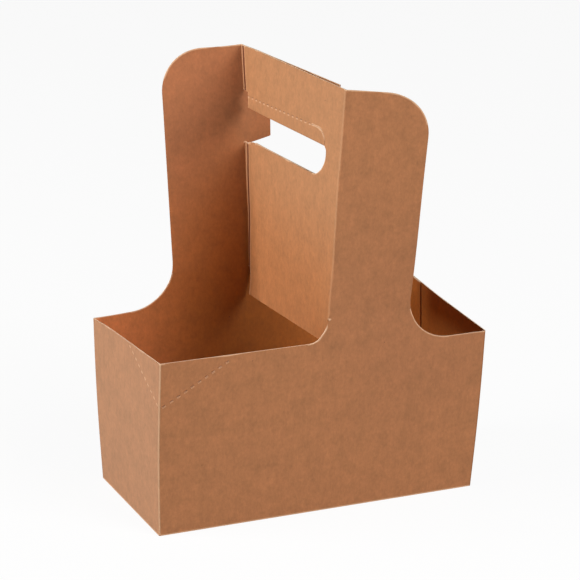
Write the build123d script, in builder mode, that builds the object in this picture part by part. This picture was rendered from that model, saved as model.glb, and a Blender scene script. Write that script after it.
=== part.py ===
from build123d import *
import os
from math import cos, radians, sin, tan

os.makedirs("parts", exist_ok=True)

# A two-cup carrier, die-cut from one sheet of kraft board, then folded and glued.
# X runs along the carrier, Y from front to back, Z up. The origin is the middle of the base.
# Turned half a turn about Z, the carrier looks the same, apart from its hand hole.

# The board and its creases
board = 0.6  # thickness of the board
inner_crease = 0.5  # inside radius of a folded crease
glue_film = 0.15  # space that a line of glue takes between two layers

# The sleeve that holds the cups
base_length = 205.3
base_depth = 98.0
end_lean = 0.022  # how far an end wall leans outward for each mm of height
face_lean = 0.074  # the same for the front and back walls
rim_high = 109.3  # rim where the divider was cut out of the wall
rim_low = 102.9  # rim beside the handle panel
flap_width = 28.0  # glue flap inside the right end wall
glue_margin = 6.0  # from the glue flap's edges to its glue

# The base: two long flaps that meet at a stepped seam, under two end flaps
seam_step = 9.0
seam_run = 12.0  # length of the seam's sloping middle
seam_gap = 0.4
base_clearance = 0.8  # from a flap's side edges to the walls that it doesn't hang from
end_flap_length = 62.0
end_flap_taper = 14.0  # how much narrower an end flap is at its tip, on each side
end_flap_corner = 6.0

# The handle: a panel on each long wall, folded along the middle into the divider
height = 262.0
panel_reach = 51.9  # from the middle of the carrier to a handle panel's outer edge
rim_radius = 28.0  # hollow curve from the low rim into a handle panel
panel_corner = 28.0  # rounded top corner of a handle panel
top_fall = 4.7  # degrees that a panel's top edge falls outward
panel_swing = 14.3  # degrees that a panel's fold has sprung open at the top

# The divider: two plies, each folded back from one handle panel
divider_turn = 2.7  # degrees that the divider stands askew
foot_drop = 3.4  # from the high rim down to the divider's lower edge
foot_radius = 14.0  # curve from the high rim up to the fold
corner_end = 0.4  # from the top of a ply's rounded lower corner up to where its fold begins
gap_foot = 3.2  # from a ply's free edge to the far handle panel, at the foot
gap_notch = 8.0  # the same just below the notch
gap_top = 5.5  # the same from the notch to the top
gap_top_back = 12.5  # the same on the back ply
glue_patch_length = 60.0
glue_patch_height = 14.0
glue_patch_rise = 20.0  # from the divider's foot to the middle of the lower glue patch
glue_patch_drop = 36.3  # from the hand hole to the middle of the upper one

# The hand hole, which runs out to the far fold
hole_drop = 38.4  # from the carrier's top to its upper edge
hole_height = 19.4
hole_end = 46.6  # from the middle of the divider to its closed end
hole_corner_top = 2.5
hole_slant_run = 13.4  # along the lower edge, of the slant across its lower corner
hole_slant_rise = 11.0  # the same up the closed end
hole_slant_radius = 10.5  # rounding at both ends of that slant

# The grip flap out of the front ply's hole, folded under and up behind the back ply
grip_end = 44.5  # from the middle of the divider to the flap's closed end
grip_return = 15.0  # how far it runs up behind the back ply
hinge_rise = 9.0  # from the hand hole's upper edge to the middle of the flap's perforated hinge
hinge_tilt = 1.2  # degrees that the hinge rises towards the front
hinge_corner = 8.0  # rounded corner of the cut from the hinge down to the flap's closed end
hinge_start = 1.2  # from the front ply's free edge to the hinge's first slit
hinge_pitch = 5.5
hinge_end = 26.5  # from the middle of the divider to where its slits stop

# The tab out of the back ply's hole, which stayed in the plane of the back panel
tab_length = 16.0
tab_drop = 3.9  # from the hand hole's lower edge to the tab's
notch_rise = 10.4  # from its upper edge to the tab's, and to the notches in the plies' free edges
tab_slope = 15.7  # degrees that its lower edge rises towards its end
tab_corner = 1.5

# The tear line across the front left corner, from rim to rim
slit_length = 2.2
slit_width = 0.3
tear_drop = 26.5  # from the high rim down to the tear line's lowest slits
tear_margin = 2.9  # the same slits' distance from the corner's crease
tear_slits = 10
front_pitch = 4.9  # between slits on the front wall
front_rise = 30.6  # degrees that they climb
side_pitch = 5.4  # the same on the end wall
side_rise = 25.8

crease = inner_crease + board  # outside radius of a folded crease
ply_offset = glue_film / 2 + board  # from the divider's middle to a ply's outer face
grip_radius = 1.5 * board + glue_film  # outside radius of the grip flap's fold round the back ply
fold_start = rim_high + foot_radius  # where the fold between panel and divider begins
divider_foot = rim_high - foot_drop
divider_corner = foot_radius + foot_drop - corner_end
hole_top = height - hole_drop
hole_foot = hole_top - hole_height
tab_top = hole_top + notch_rise
tab_foot = hole_foot - tab_drop
beyond = 20.0  # how far a cutting shape runs past what it cuts
turn = radians(divider_turn)


def half_length(z):
    return base_length / 2 + end_lean * z


def half_depth(z):
    return base_depth / 2 + face_lean * z


def fold_point(z):
    # the front fold's outer corner at height z, where the divider's left face meets the wall
    along = (half_depth(z) - ply_offset * sin(turn)) / cos(turn)
    return Vector(along * sin(turn) - ply_offset * cos(turn), -half_depth(z))


def panel_point(z, reach):
    swing = radians(panel_swing) * max(0.0, z - fold_start) / (height - fold_start)
    return fold_point(z) + Vector(cos(swing), -sin(swing)) * reach


def ply_edge(z, gap=0.0):
    # how far along the divider a ply's free edge lies, with this gap to the far handle panel
    return half_depth(z) / cos(turn) - gap


def inner_face(path):
    # the board's other face: the same path, one thickness to the right of the way it runs
    runs = [(b - a).normalized() for a, b in zip(path, path[1:])]
    sides = [Vector(run.Y, -run.X) for run in runs]
    points = [path[0] + sides[0] * board]
    for corner, before, after in zip(path[1:-1], sides, sides[1:]):
        points.append(corner + (before + after) * (board / (1 + before.dot(after))))
    return points + [path[-1] + sides[-1] * board]


def board_section(path):
    # a section through the board along a path of outside corners, with rounded creases
    corners = len(path) - 2
    with BuildLine() as outline:
        outer = FilletPolyline(*path, radius=[crease] * corners)
        inner = FilletPolyline(*inner_face(path), radius=[inner_crease] * corners)
        Line(outer @ 0, inner @ 0)
        Line(outer @ 1, inner @ 1)
    make_face(outline.edges())


def rounded_face(*corners, mode=Mode.ADD):
    # a face with corners given as (x, y) or, where they are rounded, (x, y, radius)
    with BuildLine() as outline:
        radii = [corner[2] if len(corner) > 2 else 0 for corner in corners]
        FilletPolyline(*[corner[:2] for corner in corners], radius=radii, close=True)
    make_face(outline.edges(), mode=mode)


def sleeve_path(z):
    x, y = half_length(z), half_depth(z)
    inside = x - board - glue_film
    corners = [(x, y), (x, -y), (-x, -y), (-x, y), (inside, y), (inside, y - flap_width)]
    return [Vector(*corner) for corner in corners]


def handle_path(z):
    ply = Vector(-sin(turn), cos(turn)) * (2 * ply_edge(z) - min(gap_foot, gap_top))
    return [panel_point(z, panel_reach + beyond), fold_point(z), fold_point(z) + ply]


# Views that the die lines are drawn in, each with X to the right and Z up the sheet
front_view = Plane.XZ
back_view = Plane(origin=(0, 0, 0), x_dir=(-1, 0, 0), z_dir=(0, 1, 0))
left_view = Plane(origin=(0, 0, 0), x_dir=(0, -1, 0), z_dir=(-1, 0, 0))
right_view = Plane(origin=(0, 0, 0), x_dir=(0, 1, 0), z_dir=(1, 0, 0))
divider_view = Plane(
    origin=(0, 0, 0), x_dir=(-sin(turn), cos(turn), 0), z_dir=(cos(turn), sin(turn), 0)
)


def panel_waste():
    # what the die takes off above and beside a handle panel, down to the low rim
    start = fold_point(height).X
    corner_height = height - (panel_reach - start) * tan(radians(top_fall))
    rounded_face(
        (start, height),
        (panel_reach, corner_height, panel_corner),
        (panel_reach, rim_low, rim_radius),
        (base_length, rim_low),
        (base_length, height + beyond),
        (start, height + beyond),
    )


def wall_waste():
    # what it takes out above the high rim, where the divider came from
    fold_x = fold_point(fold_start).X
    rounded_face(
        (-base_length, rim_high),
        (fold_x, rim_high, foot_radius),
        (fold_x, fold_start + beyond),
        (-base_length, fold_start + beyond),
    )


def end_waste():
    # what it takes off an end wall, whose rim joins a low and a high one
    edge = half_depth(rim_high)
    rounded_face(
        (-edge, rim_low),
        (edge, rim_high),
        (edge, fold_start + beyond),
        (-edge, fold_start + beyond),
    )


def slit_row(start, angle, pitch, count):
    # slits end to end along a line, from the middle of the first one
    with Locations(Location(start, angle)):
        with GridLocations(pitch, pitch, count, 1, align=(Align.MIN, Align.CENTER)):
            Rectangle(slit_length, slit_width)


# The sleeve: four walls and a glue flap as one bent strip, cut down to its rims
with BuildPart() as sleeve:
    for level in (0, fold_start):
        with BuildSketch(Plane.XY.offset(level)):
            board_section(sleeve_path(level))
    loft(ruled=True)
    for view in (front_view, back_view):
        with BuildSketch(view.offset(half_depth(rim_low) - crease)):
            panel_waste()
            wall_waste()
        extrude(amount=base_depth, mode=Mode.SUBTRACT)
    for view in (left_view, right_view):
        with BuildSketch(view.offset(half_length(rim_low) - 2 * crease)):
            end_waste()
        extrude(amount=beyond, mode=Mode.SUBTRACT)
    tear_foot = rim_high - tear_drop
    with BuildSketch(front_view.offset(half_depth(0))):
        slit_row((tear_margin - half_length(tear_foot), tear_foot), front_rise, front_pitch, tear_slits)
    extrude(amount=beyond, mode=Mode.SUBTRACT)
    with BuildSketch(left_view.offset(half_length(0))):
        slit_row((half_depth(tear_foot) - tear_margin, tear_foot), 180 - side_rise, side_pitch, tear_slits)
    extrude(amount=beyond, mode=Mode.SUBTRACT)

# The glue between the glue flap and the right end wall
with BuildPart() as sleeve_glue:
    for level in (glue_margin, rim_low - glue_margin):
        with BuildSketch(Plane.XY.offset(level)):
            x, y = half_length(level) - board, half_depth(level) - glue_margin
            end = half_depth(level) - flap_width + glue_margin
            rounded_face((x - glue_film, end), (x, end), (x, y), (x - glue_film, y))
    loft(ruled=True)

# The base flaps
with BuildPart() as base:
    with BuildSketch():
        Rectangle(base_length - 2 * (board + base_clearance), base_depth - board)
        with BuildLine() as seam:
            Polyline(
                (-base_length / 2, seam_step / 2), (-seam_run / 2, seam_step / 2),
                (seam_run / 2, -seam_step / 2), (base_length / 2, -seam_step / 2),
            )
        trace(seam.edges(), line_width=seam_gap, mode=Mode.SUBTRACT)
    extrude(amount=board)
    with BuildSketch(Plane.XY.offset(board)):
        for end in (-1, 1):
            wall = end * (base_length - board) / 2
            tip = end * (base_length / 2 - end_flap_length)
            side = base_depth / 2 - board - base_clearance
            rounded_face(
                (wall, -side), (wall, side),
                (tip, side - end_flap_taper, end_flap_corner), (tip, end_flap_taper - side, end_flap_corner),
            )
    extrude(amount=board)

# A handle panel and the ply that folds back from it, before its hand hole is cut
with BuildPart() as handle:
    for level in (divider_foot - beyond, fold_start):
        with BuildSketch(Plane.XY.offset(level)):
            board_section(handle_path(level))
    loft(ruled=True)
    for level in (fold_start, height):
        with BuildSketch(Plane.XY.offset(level)):
            board_section(handle_path(level))
    loft(ruled=True)
    with BuildSketch(front_view.offset(half_depth(0))):
        panel_waste()
    extrude(amount=base_depth, mode=Mode.SUBTRACT)
    fold_depth = half_depth(fold_start) - crease
    with BuildSketch(divider_view):
        rounded_face(
            (-base_depth, 0), (base_depth, 0), (base_depth, divider_foot),
            (-fold_depth, divider_foot, divider_corner), (-fold_depth, fold_start), (-base_depth, fold_start),
        )
        rounded_face(
            (ply_edge(divider_foot, gap_foot), divider_foot), (base_depth, divider_foot),
            (base_depth, height + beyond), (ply_edge(height + beyond, gap_top), height + beyond),
            (ply_edge(tab_top, gap_top), tab_top), (ply_edge(tab_top, gap_notch), tab_top),
        )
    extrude(amount=base_length, both=True, mode=Mode.SUBTRACT)


def hole_waste():
    # the hand hole, with the room above it that the grip flap's fold takes
    middle = hole_foot + hole_height / 2
    rounded_face(
        (base_depth, hole_foot),
        (hole_slant_run - hole_end, hole_foot, hole_slant_radius),
        (-hole_end, hole_foot + hole_slant_rise, hole_slant_radius),
        (-hole_end, hole_top, hole_corner_top),
        (base_depth, hole_top),
    )
    rounded_face(
        (base_depth, middle), (-grip_end, middle),
        (-grip_end, hole_top + grip_radius), (base_depth, hole_top + grip_radius),
    )


def hinge_waste():
    # the grip flap's hinge, a row of slits, and the cut from its end down to the hole
    rise = tan(radians(hinge_tilt))
    hinge_height = hole_top + hinge_rise
    first = ply_edge(tab_top, gap_notch) - hinge_start
    slits = 1 + int((first + hinge_end) / hinge_pitch)
    last = first - (slits - 1) * hinge_pitch
    slit_row((first, hinge_height - first * rise), 180 - hinge_tilt, hinge_pitch, slits)
    with BuildLine() as cut:
        FilletPolyline(
            (last - hinge_pitch / 2, hinge_height - (last - hinge_pitch / 2) * rise),
            (-grip_end, hinge_height + grip_end * rise),
            (-grip_end, hole_top),
            radius=hinge_corner,
        )
    trace(cut.edges(), line_width=slit_width)


with BuildPart() as front_handle:
    add(handle.part)
    with BuildSketch(divider_view):
        hole_waste()
        hinge_waste()
    extrude(amount=beyond, both=True, mode=Mode.SUBTRACT)

# The back ply's hole leaves the tab, and its free edge above the notch stands further back.
# Its fold stops below the tab and starts again above it.
bend_end = divider_view.offset(ply_offset - crease)
with BuildPart() as back_handle:
    add(handle.part.rotate(Axis.Z, 180))
    with BuildSketch(bend_end):
        hole_waste()
        rounded_face(
            (half_depth(tab_foot) - tab_length, tab_foot), (base_depth, tab_foot),
            (base_depth, tab_top), (half_depth(tab_foot) - tab_length, tab_top),
        )
        rounded_face(
            (-ply_edge(tab_top, gap_top_back), tab_top), (-base_depth, tab_top),
            (-base_depth, height + beyond), (-ply_edge(height + beyond, gap_top_back), height + beyond),
        )
    extrude(amount=beyond, mode=Mode.SUBTRACT)

with BuildPart() as tab:
    for level in (fold_start, height):
        with BuildSketch(Plane.XY.offset(level)):
            path = [-panel_point(level, panel_reach), -panel_point(level, -tab_length)]
            rounded_face(*[(point.X, point.Y) for point in path + inner_face(path)[::-1]])
    loft(ruled=True)
    split(bisect_by=bend_end, keep=Keep.TOP)
    with BuildSketch(back_view.offset(half_depth(0))):
        tip = fold_point(tab_foot).X - tab_length
        rise = (crease - tip) * tan(radians(tab_slope))
        rounded_face(
            (beyond, tab_foot), (beyond, tab_top),
            (tip, tab_top, tab_corner), (tip, tab_foot + rise, tab_corner), (crease, tab_foot),
        )
    extrude(amount=base_depth, mode=Mode.INTERSECT)

# The grip flap, a fold round the back ply's edge and a return up its far face
grip_back = ply_edge(tab_top, gap_notch)
grip_middle = grip_radius - ply_offset
start = divider_view.from_local_coords((grip_back, hole_top + grip_radius, 0))
grip_section = Plane(origin=start, x_dir=divider_view.z_dir, z_dir=-divider_view.x_dir)
with BuildPart() as grip:
    with BuildSketch(grip_section):
        with BuildLine():
            CenterArc((grip_middle, 0), grip_radius, 180, 180)
            Polyline(
                (grip_middle + grip_radius, 0), (grip_middle + grip_radius, grip_return),
                (grip_middle + grip_radius - board, grip_return), (grip_middle + grip_radius - board, 0),
            )
            CenterArc((grip_middle, 0), grip_radius - board, 0, -180)
            Line((grip_middle - grip_radius + board, 0), (grip_middle - grip_radius, 0))
        make_face()
    extrude(amount=grip_back + grip_end)

with BuildPart() as cup_carrier:
    add(sleeve.part)
    add(sleeve_glue.part)
    add(base.part)
    add(front_handle.part)
    add(back_handle.part)
    add(tab.part)
    add(grip.part)
    for level in (divider_foot + glue_patch_rise, hole_foot - glue_patch_drop):
        with BuildSketch(divider_view.offset(-glue_film / 2)):
            with Locations((0, level)):
                Rectangle(glue_patch_length, glue_patch_height)
        extrude(amount=glue_film)

cup_carrier.part.label = "cup_carrier"
export_step(cup_carrier.part, "parts/cup_carrier.step")
print("cup carrier:", len(cup_carrier.part.faces()), "faces,", round(cup_carrier.part.volume), "mm3")
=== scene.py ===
import bpy
import bmesh
import math
from mathutils import Matrix, Vector
from mathutils.kdtree import KDTree


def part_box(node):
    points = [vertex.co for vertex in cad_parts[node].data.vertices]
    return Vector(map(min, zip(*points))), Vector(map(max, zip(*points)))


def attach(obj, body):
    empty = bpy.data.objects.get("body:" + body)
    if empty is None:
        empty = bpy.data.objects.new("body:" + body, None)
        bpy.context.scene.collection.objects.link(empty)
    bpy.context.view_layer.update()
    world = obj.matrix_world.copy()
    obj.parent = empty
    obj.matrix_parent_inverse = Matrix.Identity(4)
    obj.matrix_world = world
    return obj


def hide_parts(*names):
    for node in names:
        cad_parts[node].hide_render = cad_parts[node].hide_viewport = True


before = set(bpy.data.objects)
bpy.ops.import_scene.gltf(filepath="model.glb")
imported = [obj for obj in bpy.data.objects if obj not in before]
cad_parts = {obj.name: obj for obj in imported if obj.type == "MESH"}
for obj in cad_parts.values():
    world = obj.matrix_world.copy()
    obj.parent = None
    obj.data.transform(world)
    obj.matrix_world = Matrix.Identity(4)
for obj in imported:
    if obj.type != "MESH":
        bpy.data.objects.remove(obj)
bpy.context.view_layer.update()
print("frame loaded")

mm = 0.001


def srgb(code):
    # a hex colour as the screen shows it, turned to the linear values that nodes take
    parts = [int(code[i:i + 2], 16) / 255 for i in (1, 3, 5)]
    linear = [c / 12.92 if c <= 0.04045 else ((c + 0.055) / 1.055) ** 2.4 for c in parts]
    return (*linear, 1.0)


# Camera, fitted to the photo's corners, folds and rims
camera = {
    "azimuth": -24.147,  # degrees round the carrier from its front
    "elevation": 17.730,
    "roll": 0.757,
    "distance": 1.4577,
    "lookAt": (0.0008, 0.0, 0.12407),
    "lens": 150.25,  # mm
    "sensor": 36.0,
}


def addCamera():
    az, el, roll = (math.radians(camera[key]) for key in ("azimuth", "elevation", "roll"))
    back = Vector((math.sin(az) * math.cos(el), -math.cos(az) * math.cos(el), math.sin(el)))
    level = (-back).cross(Vector((0, 0, 1))).normalized()
    upright = level.cross(-back)
    right = level * math.cos(roll) + upright * math.sin(roll)
    up = upright * math.cos(roll) - level * math.sin(roll)
    data = bpy.data.cameras.new("camera")
    data.lens = camera["lens"]
    data.sensor_width = camera["sensor"]
    data.clip_end = 20
    obj = bpy.data.objects.new("camera", data)
    place = Vector(camera["lookAt"]) + back * camera["distance"]
    obj.matrix_world = Matrix.Translation(place) @ Matrix((right, up, back)).transposed().to_4x4()
    bpy.context.scene.collection.objects.link(obj)
    bpy.context.scene.camera = obj


addCamera()
print("camera placed")


# One small function adds a node: its settings, then what goes into its open sockets, in order or by name
def addNode(tree, kind, *values, sockets=None, **settings):
    node = tree.nodes.new("ShaderNode" + kind)
    for key, value in settings.items():
        setattr(node, key, value)
    given = list(zip([socket for socket in node.inputs if socket.enabled], values))
    given += [(node.inputs[key], value) for key, value in (sockets or {}).items()]
    for socket, value in given:
        if isinstance(value, bpy.types.Node):
            value = next(output for output in value.outputs if output.enabled)
        if isinstance(value, bpy.types.NodeSocket):
            tree.links.new(value, socket)
        else:
            socket.default_value = value
    return node


def newMaterial(name):
    material = bpy.data.materials.new(name)
    material.use_nodes = True
    material.node_tree.nodes.clear()
    return material, material.node_tree


# The board as it stands: the CAD solid, with the slight bows of a folded sheet. Sizes in mm.
carrierBoard = {
    "node": "cup_carrier",
    "halfLength": (102.65, 0.022),  # at the foot, and how much more for each mm of height
    "halfDepth": (49.0, 0.074),
    "wallHeight": 106.0,
    "handleFoot": 123.0,  # height that the handle's folds begin at
    "handleFold": (-1.635, -0.0035),  # X of the back fold at the foot, and more for each mm of height
    "dividerTurn": 2.7,  # degrees
    # the mesh
    "weld": 0.002,
    "flatAngle": 0.4,  # degrees between facets that are one flat face
    "curveAngle": 12.0,  # and between the two triangles of a curved strip
    "skewAngle": 60.0,
    "sharpAngle": 50.0,
    "smoothAngle": 35.0,
    "fieldSize": 6.0,  # between the lines that let the board bow
    "lineSnap": 0.001,  # a point this near to such a line lies on it
    # raw edges
    "cutEdge": 0.75,  # a strip narrower than this between two sharp sides is a raw edge
    "shortestCut": 70.0,  # the slits' outlines are shorter, and stay sharp
    "cutBevel": 0.26,
    "cutFacesUp": 0.3,  # a raw edge whose normal rises more than this gets a pale band beside it, partly wear and partly a painted highlight
    "cutSteps": 16,  # points taken along it
    # bows, those of the folds as heights and shifts
    "endBow": 0.8,  # how far the end walls stand out at half their height
    "endBowFrom": (97.0, 101.5),  # where the board turns into an end wall
    "farPly": (6.0, 3.5, 12.0),  # it is within the first of the middle, and ends this short of each fold
    "plySpread": 2.1,  # how far it stands off at its free top corner
    "spreadFoot": 226.0,
    "spreadAlong": (-55.0, 5.0),  # from this far behind the middle to this far from the front fold
    "backFoldBow": ((106, 1.3), (132, 1.0), (155, 1.5), (180, 0.8), (234, 0.6), (262, -0.3)),
    "frontFoldBow": ((115, -2.6), (135, -2.2), (158, -1.3), (203, -1.1), (225, -0.4), (262, 0.3)),
    "foldSpan": 34.0,  # how far from a fold the board follows it
    "foldBowRise": 9.0,  # the bow grows to full over this much height
    "dents": (  # where hands and packing bent it: place, reach, shift
        ((-14, 66, 262), (26, 20, 60), (0, 0, -0.8)),  # back panel's top beside the fold
        ((-50, 67, 255), (28, 20, 30), (-0.9, 0, 0.9)),  # its upper corner
        ((48, -66, 262), (45, 20, 60), (0, 0, -0.6)),  # front panel's upper corner
        ((52, -60, 165), (35, 20, 60), (0.5, 0, 0)),  # front panel's edge
        ((104, 57, 106), (60, 60, 40), (0, 0, 1.2)),  # rim at the right back corner
        ((-104, 57, 106), (30, 30, 40), (0, 0, -1.0)),  # and at the left one
        ((-62, 57, 112), (25, 20, 30), (0, 0, 0.9)),  # back panel's foot
        ((1.9, -39.5, 209.3), (10, 8, 8), (0, -0.8, -0.7)),  # hand hole's lower corner
        ((-3.1, 57.3, 204.2), (1.6, 9, 3), (0, 0, -1.8)),  # near ply's corner at the hole
        ((-2.9, 61.5, 200.3), (2.5, 4.5, 2), (0, 0, 2.0)),  # strip beside it
    ),
}
boardLow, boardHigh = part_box(carrierBoard["node"])


def smooth(value, low, high):
    # 0 below low, 1 above high and a soft step between them
    t = min(1.0, max(0.0, (value - low) / (high - low)))
    return t * t * (3 - 2 * t)


def alongTable(table, value):
    # straight between the points of a short table
    for (a, first), (b, second) in zip(table, table[1:]):
        if value <= b:
            return first + (second - first) * max(0.0, value - a) / (b - a)
    return table[-1][1]


def bowedPlace(x, y, z):
    # where a point of the flat-sided solid, in mm, lies on the bowed board, in metres
    board = carrierBoard
    turn = math.radians(board["dividerTurn"])
    halfDepth = board["halfDepth"][0] + board["halfDepth"][1] * z
    shift = Vector((0, 0, 0))
    endBow = math.sin(math.pi * min(1.0, z / board["wallHeight"])) * smooth(abs(x), *board["endBowFrom"])
    shift.x += math.copysign(board["endBow"], x) * endBow
    along = -x * math.sin(turn) + y * math.cos(turn)
    across = x * math.cos(turn) + y * math.sin(turn)
    thick, frontGap, backGap = board["farPly"]
    if 0 < across < thick and -halfDepth + frontGap < along < halfDepth - backGap:
        start, end = board["spreadAlong"]
        spread = board["plySpread"] * smooth(z, board["spreadFoot"], boardHigh.z / mm)
        spread *= smooth(-along, start, halfDepth - end)
        shift += Vector((math.cos(turn), math.sin(turn), 0)) * spread
    risen = smooth(z, board["wallHeight"], board["wallHeight"] + board["foldBowRise"])
    for bow, fold in ((board["backFoldBow"], halfDepth), (board["frontFoldBow"], -halfDepth)):
        near = 1 - smooth(math.hypot(x, y - fold), 0, board["foldSpan"])
        shift.x += alongTable(bow, z) * near * risen
    for centre, reach, dent in board["dents"]:
        share = 1.0
        for value, middle, far in zip((x, y, z), centre, reach):
            share *= 1 - smooth(abs(value - middle), 0, far)
        shift += Vector(dent) * share
    return (Vector((x, y, z)) + shift) * mm


def turnsMore(edge, angle):
    return len(edge.link_faces) == 2 and edge.calc_face_angle() > math.radians(angle)


def mergeFlatFaces(shape):
    bmesh.ops.remove_doubles(shape, verts=shape.verts, dist=carrierBoard["weld"] * mm)
    bmesh.ops.dissolve_limit(
        shape, angle_limit=math.radians(carrierBoard["flatAngle"]), use_dissolve_boundaries=False,
        verts=shape.verts, edges=shape.edges, delimit=set(),
    )
    bmesh.ops.join_triangles(
        shape, faces=shape.faces, angle_face_threshold=math.radians(carrierBoard["curveAngle"]),
        angle_shape_threshold=math.radians(carrierBoard["skewAngle"]),
    )


def findRawEdges(shape):
    # the strips that show the board's thickness: narrow, with a broad face round a sharp corner
    limit = carrierBoard["cutEdge"] * mm
    width = {face: 2 * face.calc_area() / face.calc_perimeter() for face in shape.faces}
    for face in shape.faces:
        sharp = [e for e in face.edges if turnsMore(e, carrierBoard["sharpAngle"])]
        beside = [other for e in sharp for other in e.link_faces if other != face]
        raw = width[face] < limit and any(width[other] >= limit for other in beside)
        face.material_index = 1 if raw else 0


def isBorder(edge):
    # between face and raw edge
    rawSides = sum(face.material_index for face in edge.link_faces)
    return turnsMore(edge, carrierBoard["sharpAngle"]) and rawSides == 1


def findBorders(shape):
    # all borders but the short ones round the perforations' slits
    kept, seen = [], set()
    for first in filter(isBorder, shape.edges):
        if first in seen:
            continue
        seen.add(first)
        run = [first]
        for edge in run:
            for other in [e for vert in edge.verts for e in vert.link_edges if isBorder(e)]:
                if other not in seen:
                    seen.add(other)
                    run.append(other)
        if sum(edge.calc_length() for edge in run) > carrierBoard["shortestCut"] * mm:
            kept += run
    return kept


def pointsOnLevelCuts(borders):
    up, steps = carrierBoard["cutFacesUp"], carrierBoard["cutSteps"]
    level = [e for e in borders if any(f.material_index and f.normal.z > up for f in e.link_faces)]
    return [e.verts[0].co.lerp(e.verts[1].co, step / steps) for e in level for step in range(steps + 1)]


def cutIntoFields(shape):
    snap = carrierBoard["lineSnap"] * mm
    for axis in range(3):
        normal = [0, 0, 0]
        normal[axis] = 1
        count = int((boardHigh[axis] - boardLow[axis]) / (carrierBoard["fieldSize"] * mm))
        for step in range(1, count):
            place = [0, 0, 0]
            place[axis] = boardLow[axis] + (boardHigh[axis] - boardLow[axis]) * step / count
            geom = shape.verts[:] + shape.edges[:] + shape.faces[:]
            bmesh.ops.bisect_plane(shape, geom=geom, plane_co=place, plane_no=normal, dist=snap)


def bowBoard(shape, cutPoints):
    flatPlace = shape.verts.layers.float_vector.new("flatPlace")  # where a point lay before, in mm
    cutDistance = shape.verts.layers.float.new("cutDistance")  # and how far it is from a level cut
    nearest = KDTree(len(cutPoints))
    for index, point in enumerate(cutPoints):
        nearest.insert(point, index)
    nearest.balance()
    for vert in shape.verts:
        vert[cutDistance] = nearest.find(vert.co)[2] / mm
        vert[flatPlace] = vert.co / mm
        vert.co = bowedPlace(*(vert.co / mm))


def addCarrier(materials):
    shape = bmesh.new()
    shape.from_mesh(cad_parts[carrierBoard["node"]].data)
    mergeFlatFaces(shape)
    findRawEdges(shape)
    borders = findBorders(shape)
    cutPoints = pointsOnLevelCuts(borders)
    bmesh.ops.bevel(
        shape, geom=borders, offset=carrierBoard["cutBevel"] * mm, offset_type="OFFSET", segments=1,
        profile=0.5, affect="EDGES", clamp_overlap=True, material=1,
    )
    for face in shape.faces:
        face.smooth = True
    for edge in shape.edges:
        edge.smooth = len(edge.link_faces) == 2 and not turnsMore(edge, carrierBoard["smoothAngle"])
    cutIntoFields(shape)
    bowBoard(shape, cutPoints)
    data = bpy.data.meshes.new("cardboardCarrier")
    shape.to_mesh(data)
    shape.free()
    piece = bpy.data.objects.new("cardboardCarrier", data)
    bpy.context.scene.collection.objects.link(piece)
    for material in materials:
        data.materials.append(material)
    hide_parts(carrierBoard["node"])
    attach(piece, "root")
    print("carrier:", len(data.polygons), "faces")


# Uncoated kraft board: pressed from unbleached pulp and left bare. It is matt and warm brown,
# with cloudy fibre formation, faint streaks along the grain and a few dark specks of bark.
# Sizes in mm.
kraft = {
    "warm": "#B8764C",
    "olive": "#B3794B",
    "hueSize": 10.0,  # patches of redder and yellower pulp
    "hueSpread": 0.12,
    "patterns": (  # size across the grain, size along it, strength
        (10.0, 10.0, 0.09),  # clouds
        (4.5, 5.5, 0.06),
        (2.0, 2.4, 0.085),  # fibre flocs
        (3.0, 22.0, 0.04),  # streaks
        (0.8, 2.0, 0.065),  # fibres, drawn coarser than real ones so that they show
    ),
    "speck": "#5B3420",
    "speckGap": 16.0,  # between the places that may hold a speck
    "speckSize": 0.42,
    "speckShare": 0.35,  # how many of those places do
    "relief": (0.8, 1.6, 0.5),  # the fibres' relief, as a pattern
    "reliefDepth": 0.025,
    "roughness": 0.68,
    "ior": 1.47,
}

# Painted light and shade: where the board is painted paler or deeper than its pulp, its red, green and blue
# are multiplied by these.
# A painted sheen pales the end walls, painted shade deepens and reddens the inner side and the handle's inner
# faces, and painted light and shade change the divider and the front.
paintedLight = {
    "inner": (1.32, 1.08, 0.82, 1.0),  # painted shade, deeper and redder like light bounced about inside, low inside the sleeve
    "innerTop": (0.97, 0.86, 0.82, 1.0),  # painted shade on the handle's inner faces
    "innerSpan": (90.0, 215.0),  # height, in mm
    "right": (1.20, 1.00, 0.36, 1.0),  # painted shade in the right half, where the divider keeps the light off
    "rightSpan": (15.0, 60.0),
    "deep": (0.88, 0.63, 0.15, 1.0),  # painted shade in the corner by the back fold
    "deepSpot": (0.0, 49.0, 70.0),
    "deepStretch": (1.0, 1.0, 0.56),
    "deepSpan": (25.0, 95.0),
    # painted sheen: the end walls' outer faces paler and greyer
    "endWallSheen": (0.92, 1.07, 1.29, 1.0),
    "selected": (0.92, 0.91, 0.93, 1.0),  # painted shade: the front darker about this spot, right of middle and low on the handle
    "frontShadeSpot": (70.0, -57.0, 118.0),
    "frontShadeSpan": (20.0, 105.0),
    # painted light on the divider's faces: warmer and deeper at the foot, paler toward the top
    "divider": (1.02, 0.97, 0.80, 1.0),
    "dividerTop": (1.07, 1.19, 1.25, 1.0),
    "dividerSpan": (130.0, 205.0),
    "dividerReach": 5.0,  # it lies within this of the middle
    # how far out a face looks, which is its normal times its place: the inner faces less than the
    # first, the divider's less than the second either way, and the end walls' more than the third
    "outward": (-20.0, 30.0, 75.0),
}
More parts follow.
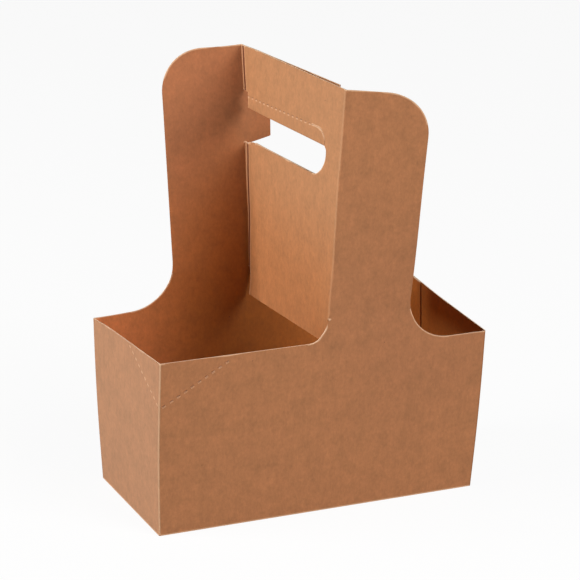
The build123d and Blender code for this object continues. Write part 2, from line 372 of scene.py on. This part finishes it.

# What folding, cutting and handling left on the board, with painted highlights and shadows at its folds,
# slits and ply ends. Sizes in mm.
# Wear is how far from a line it is full, how far from it there is none, and its strength.
marks = {
    # pale of wear, and of painted highlights on the handle's folds and the divider's strip
    "wearAndPaintedLight": "#DDA77C",
    # pale of rubbed corners and slit lips, and of the painted highlight beside the rims
    "rubbedAndLit": "#F9CBA2",
    # painted shadow: in the slits, in the gap beside a ply's end and along the glue flap's edge
    "cut": "#6A300F",
    "cornerWear": (0.5, 1.1, 0.45),  # from the ideal corner
    # wear and a painted highlight along the handle's rounded folds
    "foldWearAndHighlight": (1.0, 2.2, 0.22),
    "foldWearAndHighlightTurn": (0.4, 0.8),  # only on faces whose normal lies this much along X
    "cutWear": (0.3, 0.95, 0.65),  # beside a cut that faces up: partly wear, partly a painted highlight on the rims
    "seam": (101.9, 21.0, 0.0),  # foot of the glue flap's edge, inside the right end wall
    # painted shadow along the glue flap's edge
    "seamShade": (0.4, 1.1, 0.35),
    "slitSize": (2.3, 0.4, 2.0),  # length, and half of width and depth
    # how far the slits' painted shadows lie above their middles
    "cutLift": 0.1,
    "lipLift": -0.7,  # the pale lip lies below its cut
    "rows": (  # first slit, way the row runs, face normal, pitch, slits, strength of painted shadow and lip
        ((-101.6, -55.1, 82.8), (0.860, -0.038, 0.509), (0, -1, 0), 4.9, 10, 0.6, 0.25),
        ((-104.5, -52.2, 82.8), (-0.010, 0.900, 0.435), (-1, 0, 0), 5.4, 10, 0.0, 0.5),
        ((-3.4, 57.0, 231.4), (0.047, -0.999, 0.021), (-1, 0, 0), 5.5, 16, 0.3, 0.45),
    ),
}

# Where a ply of the divider ends short of the far fold: a painted highlight on the other ply's strip there,
# for the crease's lit bead, a painted shadow in the gap beside the ply's edge, and the wear along the ply's
# own edge. Sizes in mm.
plyEnds = {
    "gaps": ((106.0, 3.2), (234.0, 8.0), 5.5),  # height and gap at the foot and the notch, gap above
    "innerFace": 0.1,  # from the divider's middle
    "outerFace": -0.7,
    "faceSlack": 0.25,
    "foldClear": 0.7,  # no marks nearer to the fold than this
    "strip": (3.0, 9.0),  # full and no highlight, from the fold
    # how strong the painted highlight on the strip is
    "stripHighlight": 0.45,
    "shadow": (3.5, 4.1),  # full and no shade, from the ply's edge
    "edge": (-0.6, 0.7),  # middle and half width of the wear along that edge
    "edgeWear": 0.3,
}


def distanceTo(tree, place, spot, stretch=(1, 1, 1)):
    away = addNode(tree, "VectorMath", place, spot, operation="SUBTRACT")
    away = addNode(tree, "VectorMath", away, stretch, operation="MULTIPLY")
    return addNode(tree, "VectorMath", away, operation="LENGTH")


def distanceToLine(tree, place, start, run):
    away = addNode(tree, "VectorMath", place, start, operation="SUBTRACT")
    crossed = addNode(tree, "VectorMath", away, Vector(run).normalized(), operation="CROSS_PRODUCT")
    return addNode(tree, "VectorMath", crossed, operation="LENGTH")


def fadeOut(tree, distance, full, none, strength=1.0):
    # strength up to full, nothing from none on and a soft step between them
    return addNode(
        tree, "MapRange", distance, full, none, strength, 0.0, interpolation_type="SMOOTHSTEP",
    )


fibreNoise = {"Scale": 1.0, "Detail": 2.5, "Roughness": 0.6}
noiseSpan = (0.25, 0.75)  # nearly all of the noise lies between these


def grain(tree, place, wide, long, strength):
    # noise stretched along the board's grain, from -strength to strength
    scaled = addNode(tree, "VectorMath", place, (1 / wide, 1 / wide, 1 / long), operation="MULTIPLY")
    noise = addNode(tree, "TexNoise", scaled, sockets=fibreNoise)
    return addNode(tree, "MapRange", noise, *noiseSpan, -strength, strength, clamp=False)


def pulpColour(tree, place):
    hue = grain(tree, place, kraft["hueSize"], kraft["hueSize"], kraft["hueSpread"])
    hue = addNode(tree, "Math", hue, 0.5, operation="ADD", use_clamp=True)
    colour = addNode(tree, "Mix", hue, srgb(kraft["olive"]), srgb(kraft["warm"]), data_type="RGBA")
    shade = 1.0
    for pattern in kraft["patterns"]:
        shade = addNode(tree, "Math", grain(tree, place, *pattern), shade, operation="ADD")
    return addNode(tree, "VectorMath", colour, shade, operation="SCALE")


def withPaintedLight(tree, place, colour):
    # painted light and shade: the pulp's colour multiplied by the tones of paintedLight, by where the face
    # lies
    innerLook, dividerLook, endLook = paintedLight["outward"]
    level = addNode(tree, "VectorMath", place, (1, 1, 0), operation="MULTIPLY")
    normal = addNode(tree, "TexCoord").outputs["Normal"]
    outward = addNode(tree, "VectorMath", level, normal, operation="DOT_PRODUCT")
    onInside = addNode(tree, "Math", outward, innerLook, operation="LESS_THAN")
    onEndWall = addNode(tree, "Math", outward, endLook, operation="GREATER_THAN")
    parts = addNode(tree, "SeparateXYZ", place)
    across, height = parts.outputs["X"], parts.outputs["Z"]
    onDivider = addNode(tree, "Math", across, 0.0, paintedLight["dividerReach"], operation="COMPARE")
    aside = addNode(tree, "Math", outward, 0.0, dividerLook, operation="COMPARE")
    onDivider = addNode(tree, "Math", onDivider, aside, operation="MULTIPLY")

    # painted shade on the inner faces: redder low down, deeper in the right half and most in the corner by
    # the back fold
    low = fadeOut(tree, height, *paintedLight["innerSpan"])
    inner = addNode(tree, "Mix", low, paintedLight["innerTop"], paintedLight["inner"], data_type="RGBA")
    left = fadeOut(tree, across, *paintedLight["rightSpan"])
    inner = addNode(tree, "Mix", left, paintedLight["right"], inner, data_type="RGBA")
    deep = fadeOut(tree, distanceTo(tree, place, paintedLight["deepSpot"], paintedLight["deepStretch"]), *paintedLight["deepSpan"])
    inner = addNode(tree, "Mix", deep, inner, paintedLight["deep"], data_type="RGBA")
    # painted light on the divider: warmer low down, paler toward the top
    low = fadeOut(tree, height, *paintedLight["dividerSpan"])
    divider = addNode(tree, "Mix", low, paintedLight["dividerTop"], paintedLight["divider"], data_type="RGBA")
    # painted shade on the front about frontShadeSpot
    selected = fadeOut(tree, distanceTo(tree, place, paintedLight["frontShadeSpot"]), *paintedLight["frontShadeSpan"])
    for share, tone in (
        (onInside, inner), (onEndWall, paintedLight["endWallSheen"]), (selected, paintedLight["selected"]), (onDivider, divider),
    ):
        colour = addNode(tree, "Mix", share, colour, tone, data_type="RGBA", blend_type="MULTIPLY")
    return colour


def barkSpecks(tree, place):
    spread = addNode(tree, "VectorMath", place, (1 / kraft["speckGap"],) * 3, operation="MULTIPLY")
    cells = addNode(tree, "TexVoronoi", spread, sockets={"Scale": 1.0})
    size = kraft["speckSize"] / kraft["speckGap"]
    near = fadeOut(tree, cells.outputs["Distance"], 0.5 * size, size)
    pick = addNode(tree, "SeparateColor", cells.outputs["Color"])
    selected = addNode(tree, "Math", pick, kraft["speckShare"], operation="LESS_THAN")
    return addNode(tree, "Math", near, selected, operation="MULTIPLY")


def slitMarks(tree, place, row, lift, strength):
    # dashes along a row of slits, lift mm above their middles
    start, run, normal, pitch, count = row[:5]
    length, width, depth = marks["slitSize"]
    run = Vector(run).normalized()
    side = Vector(normal).cross(run).normalized()
    turned = Matrix((run, side, run.cross(side))).transposed().to_euler()
    start = Vector(start) + side * lift
    local = addNode(tree, "Mapping", place, start, turned, (pitch, width, depth), vector_type="TEXTURE")
    parts = addNode(tree, "SeparateXYZ", local)
    cell = addNode(tree, "Math", parts.outputs["X"], 0.5, operation="ADD")
    cell = addNode(tree, "Math", cell, operation="FRACT")
    along = addNode(tree, "Math", cell, 0.5, 0.5 * length / pitch, operation="COMPARE")
    selected = addNode(tree, "Math", parts.outputs["X"], (count - 1) / 2, count / 2, operation="COMPARE")
    across = addNode(tree, "Math", parts.outputs["Y"], 0.0, 1.0, operation="COMPARE")
    deep = addNode(tree, "Math", parts.outputs["Z"], 0.0, 1.0, operation="COMPARE")
    dash = strength
    for share in (selected, along, across, deep):
        dash = addNode(tree, "Math", share, dash, operation="MULTIPLY")
    return dash


def foldMarks(tree, place, colour):
    # wear on the corners, wear and a painted highlight on the handle's folds, and a painted shadow along the
    # glue flap's edge
    (halfLength, endLean), (halfDepth, faceLean) = carrierBoard["halfLength"], carrierBoard["halfDepth"]
    mirrored = addNode(tree, "VectorMath", place, operation="ABSOLUTE")
    lines = [
        (mirrored, (halfLength, halfDepth, 0), (endLean, faceLean, 1), marks["cornerWear"], "rubbedAndLit"),
        (mirrored, (0, halfDepth, 0), (1, 0, 0), marks["cornerWear"], "rubbedAndLit"),
        (mirrored, (halfLength, 0, 0), (0, 1, 0), marks["cornerWear"], "rubbedAndLit"),
    ]
    foot, lean = carrierBoard["handleFold"]
    for side in (-1, 1):  # the handle's folds are half a turn from each other
        start, run = (foot * side, halfDepth * side, 0), (lean * side, faceLean * side, 1)
        lines.append((place, start, run, marks["foldWearAndHighlight"], "wearAndPaintedLight"))
    lines.append((place, marks["seam"], (endLean, faceLean, 1), marks["seamShade"], "cut"))

    height = addNode(tree, "SeparateXYZ", place).outputs["Z"]
    above = addNode(tree, "Math", height, carrierBoard["handleFoot"], operation="GREATER_THAN")
    facing = addNode(tree, "SeparateXYZ", addNode(tree, "TexCoord").outputs["Normal"])
    facing = addNode(tree, "Math", facing, operation="ABSOLUTE")
    aside = fadeOut(tree, facing, *marks["foldWearAndHighlightTurn"], -1.0)
    onHandle = addNode(tree, "Math", above, aside, operation="ADD", use_clamp=True)
    for point, start, run, markSpan, shade in lines:
        wearAndPaintedLight = fadeOut(tree, distanceToLine(tree, point, start, run), *markSpan)
        if shade == "wearAndPaintedLight":
            wearAndPaintedLight = addNode(tree, "Math", wearAndPaintedLight, onHandle, operation="MULTIPLY")
        colour = addNode(tree, "Mix", wearAndPaintedLight, colour, srgb(marks[shade]), data_type="RGBA")
    return colour


def plyMarks(tree, place, colour):
    # measured along and across the divider, which is the same on both plies after half a turn
    turn = math.radians(carrierBoard["dividerTurn"])
    height = addNode(tree, "SeparateXYZ", place).outputs["Z"]
    along = addNode(tree, "VectorMath", place, (-math.sin(turn), math.cos(turn), 0), operation="DOT_PRODUCT")
    across = addNode(tree, "VectorMath", place, (math.cos(turn), math.sin(turn), 0), operation="DOT_PRODUCT")
    side = addNode(tree, "Math", along, operation="SIGN")
    level = addNode(tree, "Math", across, side, operation="MULTIPLY")
    length = addNode(tree, "Math", along, operation="ABSOLUTE")
    half, lean = carrierBoard["halfDepth"]
    half = addNode(tree, "Math", height, lean, half, operation="MULTIPLY_ADD")
    toFold = addNode(tree, "Math", half, length, operation="SUBTRACT")
    (foot, footGap), (notch, notchGap), topGap = plyEnds["gaps"]
    gap = addNode(tree, "MapRange", height, foot, notch, footGap, notchGap)
    low = addNode(tree, "Math", height, notch, operation="LESS_THAN")
    gap = addNode(tree, "Mix", low, topGap, gap)
    pastEdge = addNode(tree, "Math", gap, toFold, operation="SUBTRACT")
    above = addNode(tree, "Math", height, foot, operation="GREATER_THAN")

    # painted highlight on the other ply's strip, where the crease's bead would catch the light
    strip = addNode(tree, "Math", level, plyEnds["innerFace"], plyEnds["faceSlack"], operation="COMPARE")
    clear = addNode(tree, "Math", toFold, plyEnds["foldClear"], operation="GREATER_THAN")
    for share in (above, clear, fadeOut(tree, toFold, *plyEnds["strip"])):
        strip = addNode(tree, "Math", strip, share, operation="MULTIPLY")
    wearAndPaintedLight = addNode(tree, "Math", strip, plyEnds["stripHighlight"], operation="MULTIPLY")
    colour = addNode(tree, "Mix", wearAndPaintedLight, colour, srgb(marks["wearAndPaintedLight"]), data_type="RGBA")
    # painted shadow in the gap beside the ply's edge
    shaded = addNode(tree, "Math", strip, fadeOut(tree, pastEdge, *plyEnds["shadow"]), operation="MULTIPLY")
    colour = addNode(tree, "Mix", shaded, colour, srgb(marks["cut"]), data_type="RGBA")

    edge = addNode(tree, "Math", pastEdge, *plyEnds["edge"], operation="COMPARE")
    outer = addNode(tree, "Math", level, plyEnds["outerFace"], plyEnds["faceSlack"], operation="COMPARE")
    for share in (outer, above, plyEnds["edgeWear"]):
        edge = addNode(tree, "Math", edge, share, operation="MULTIPLY")
    return addNode(tree, "Mix", edge, colour, srgb(marks["wearAndPaintedLight"]), data_type="RGBA")


def kraftBoard():
    material, tree = newMaterial("uncoatedKraftBoard")
    place = addNode(tree, "Attribute", attribute_name="flatPlace").outputs["Vector"]
    colour = withPaintedLight(tree, place, pulpColour(tree, place))
    colour = foldMarks(tree, place, colour)
    colour = plyMarks(tree, place, colour)
    for row in marks["rows"]:
        cut, lip = row[5:]
        pale = slitMarks(tree, place, row, marks["lipLift"], lip)
        colour = addNode(tree, "Mix", pale, colour, srgb(marks["rubbedAndLit"]), data_type="RGBA")
        # painted shadow in each slit, where its pressed lip shades it
        dark = slitMarks(tree, place, row, marks["cutLift"], cut)
        colour = addNode(tree, "Mix", dark, colour, srgb(marks["cut"]), data_type="RGBA")
    # pale band beside the cuts that face up: partly wear, partly a painted highlight on the rims
    toCut = addNode(tree, "Attribute", attribute_name="cutDistance").outputs["Fac"]
    rubbedAndLit = fadeOut(tree, toCut, *marks["cutWear"])
    colour = addNode(tree, "Mix", rubbedAndLit, colour, srgb(marks["rubbedAndLit"]), data_type="RGBA")
    colour = addNode(tree, "Mix", barkSpecks(tree, place), colour, srgb(kraft["speck"]), data_type="RGBA")
    fibres = grain(tree, place, *kraft["relief"])
    relief = addNode(
        tree, "Bump", sockets={"Strength": 1.0, "Distance": kraft["reliefDepth"] * mm, "Height": fibres},
    )
    surface = {"Base Color": colour, "Roughness": kraft["roughness"], "IOR": kraft["ior"], "Normal": relief}
    addNode(tree, "OutputMaterial", addNode(tree, "BsdfPrincipled", sockets=surface))
    return material


# Raw edge: where the die cut through the board its torn fibres are paler and duller than its face. Level
# edges are painted paler still, a painted highlight from the light above, and upright ones darker, a painted
# shade.
cutEdge = {
    "dark": "#F0C49C",
    "light": "#FFE4C8",
    "side": "#A66B40",  # painted shade: an upright edge is darker than a level one, which faces the light from above
    "sideRise": (0.15, 0.5),  # upright below the first, and level above the second
    "fibres": (0.5, 0.5, 0.6),  # in mm, as a pattern
    "roughness": 0.85,
    "ior": 1.47,
    "specular": 0.15,
}


def rawEdge():
    material, tree = newMaterial("rawBoardEdge")
    place = addNode(tree, "Attribute", attribute_name="flatPlace").outputs["Vector"]
    tone = addNode(tree, "Math", grain(tree, place, *cutEdge["fibres"]), 0.5, operation="ADD", use_clamp=True)
    colour = addNode(tree, "Mix", tone, srgb(cutEdge["dark"]), srgb(cutEdge["light"]), data_type="RGBA")
    # painted light: raw edges that face up stay pale, upright ones are painted darker
    rise = addNode(tree, "SeparateXYZ", addNode(tree, "TexCoord").outputs["Normal"]).outputs["Z"]
    rise = addNode(tree, "Math", rise, operation="ABSOLUTE")
    upright = fadeOut(tree, rise, *cutEdge["sideRise"])
    colour = addNode(tree, "Mix", upright, colour, srgb(cutEdge["side"]), data_type="RGBA")
    surface = {"Base Color": colour, "Roughness": cutEdge["roughness"], "IOR": cutEdge["ior"]}
    surface["Specular IOR Level"] = cutEdge["specular"]
    addNode(tree, "OutputMaterial", addNode(tree, "BsdfPrincipled", sockets=surface))
    return material


boardMaterials = [kraftBoard(), rawEdge()]
print("materials made")
addCarrier(boardMaterials)

# Studio: a pale floor, a large lamp to the left and a little behind, and softer ones in front
studio = {
    "floorSize": 6.0,
    "floorColour": "#BDBBB8",
    "floorWhite": 0.93,  # how far the floor shows as pure white, where nothing shades it
    "skyStrength": 0.0,  # on the board; the camera sees the sky as white
    "aim": (0.0, 0.0, 0.12),
    "lamps": {  # degrees round from the front, degrees up, metres away, metres across, watts
        "keyLamp": (-99.0, 20.0, 1.8, 1.0, 30.5),
        "fillLamp": (25.0, 35.0, 1.8, 1.0, 24.0),
        "frontLamp": (5.0, 8.0, 1.8, 1.0, 2.8),
    },
}
white = (1, 1, 1, 1)


def shownDirectly(tree):
    # 1 for what the camera sees itself, in a mirror or through glass, and 0 for light on the board
    path = addNode(tree, "LightPath").outputs
    shown = path["Is Camera Ray"]
    for ray in ("Is Glossy Ray", "Is Transmission Ray"):
        shown = addNode(tree, "Math", shown, path[ray], operation="MAXIMUM")
    return shown


def addFloor():
    bpy.ops.mesh.primitive_plane_add(size=studio["floorSize"])
    floor = bpy.context.object
    floor.name = "floor"
    material, tree = newMaterial("paleFloor")
    shown = shownDirectly(tree)
    colour = addNode(tree, "Mix", shown, srgb(studio["floorColour"]), white, data_type="RGBA")
    paint = addNode(tree, "BsdfDiffuse", colour)
    bare = addNode(tree, "Emission", white, 1.0)
    share = addNode(tree, "Math", shown, studio["floorWhite"], operation="MULTIPLY")
    addNode(tree, "OutputMaterial", addNode(tree, "MixShader", share, paint, bare))
    floor.data.materials.append(material)


def addSky():
    world = bpy.data.worlds.new("softSky")
    bpy.context.scene.world = world
    world.use_nodes = True
    tree = world.node_tree
    tree.nodes.clear()
    strength = addNode(tree, "Mix", shownDirectly(tree), studio["skyStrength"], 1.0)
    addNode(tree, "OutputWorld", addNode(tree, "Background", white, strength))


def addLamps():
    for name, (azimuth, elevation, away, size, power) in studio["lamps"].items():
        az, el = math.radians(azimuth), math.radians(elevation)
        lamp = bpy.data.lights.new(name, "AREA")
        lamp.energy = power
        lamp.size = size
        obj = bpy.data.objects.new(name, lamp)
        toward = Vector((math.cos(el) * math.sin(az), -math.cos(el) * math.cos(az), math.sin(el)))
        obj.location = Vector(studio["aim"]) + toward * away
        obj.rotation_euler = toward.to_track_quat("Z", "Y").to_euler()
        bpy.context.scene.collection.objects.link(obj)


addFloor()
addSky()
addLamps()
bpy.context.scene.view_settings.view_transform = "Standard"
print("studio lit")
